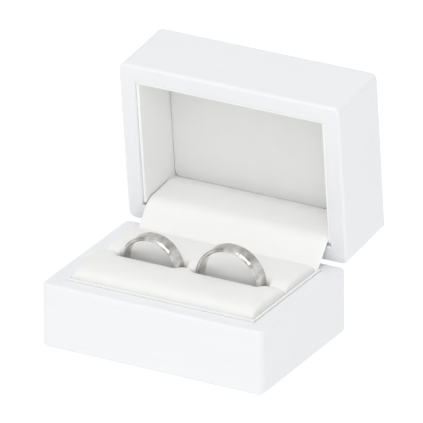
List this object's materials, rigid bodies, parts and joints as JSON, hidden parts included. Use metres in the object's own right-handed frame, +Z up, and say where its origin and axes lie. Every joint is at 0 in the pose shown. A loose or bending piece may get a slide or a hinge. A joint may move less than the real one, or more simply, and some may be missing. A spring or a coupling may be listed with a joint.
{
  "type": "ring box",
  "caption": "Clamshell box for a pair of wedding bands, with a snap hinge, padded slot and lined lid.",
  "frame": {"origin": "centre of the base's underside, on the surface it stands on", "axes": "+X to the right along the hinge, +Y to the rear where the hinge is, +Z up"},
  "size_m": [0.08, 0.0837, 0.0819],
  "materials": {
    "lacquered_board": "fine board under satin white lacquer",
    "leatherette_lining": "off-white leatherette over card",
    "soft_padding": "off-white leatherette over foam",
    "leatherette_flap": "off-white leatherette",
    "card": "plain card",
    "felt": "pale felt",
    "hinge_steel": "stamped spring steel",
    "screw_steel": "plated steel",
    "ring_metal": "brushed white gold with polished edges"
  },
  "bodies": {
    "base": {"base_front_wall": "lacquered_board", "base_right_wall": "lacquered_board", "base_rear_wall": "lacquered_board", "base_left_wall": "lacquered_board", "base_bottom_panel": "lacquered_board", "base_felt_pad": "felt", "base_liner_front": "leatherette_lining", "base_liner_right": "leatherette_lining", "base_liner_rear": "leatherette_lining", "base_liner_left": "leatherette_lining", "cushion_board": "card", "cushion_front": "soft_padding", "cushion_back": "soft_padding", "cushion_slot_strip": "soft_padding", "hinge_leaf_base": "hinge_steel", "hinge_screws_base": "screw_steel", "hinge_pin_base": "hinge_steel"},
    "hinge_bow": {"hinge_bow": "hinge_steel", "hinge_flap": "leatherette_flap"},
    "lid": {"lid_front_wall": "lacquered_board", "lid_right_wall": "lacquered_board", "lid_rear_wall": "lacquered_board", "lid_left_wall": "lacquered_board", "lid_top_panel": "lacquered_board", "lid_liner_front": "leatherette_lining", "lid_liner_right": "leatherette_lining", "lid_liner_rear": "leatherette_lining", "lid_liner_left": "leatherette_lining", "lid_pad_board": "card", "lid_pad": "soft_padding", "hinge_leaf_lid": "hinge_steel", "hinge_screws_lid": "screw_steel", "hinge_pin_lid": "hinge_steel"},
    "ring_small": {"ring_small": "ring_metal"},
    "ring_large": {"ring_large": "ring_metal"}
  },
  "joints": [
    {"name": "hinge_base_pivot", "type": "hinge", "parent": "base", "child": "hinge_bow", "pos_m": [0, 0.0248, 0.01286], "axis": [1, 0, 0], "range_deg": [0, 42]},
    {"name": "hinge_lid_pivot", "type": "hinge", "parent": "hinge_bow", "child": "lid", "pos_m": [0, 0.0377, 0.02719], "axis": [1, 0, 0], "range_deg": [0, 42]},
    {"name": "ring_small_lift", "type": "slide", "parent": "base", "child": "ring_small", "axis": [0, 0, 1], "range_m": [0, 0.005]},
    {"name": "ring_large_lift", "type": "slide", "parent": "base", "child": "ring_large", "axis": [0, 0, 1], "range_m": [0, 0.004]}
  ],
  "couplings": [
    {"joint": "hinge_lid_pivot", "follows": "hinge_base_pivot", "ratio": 1}
  ]
}
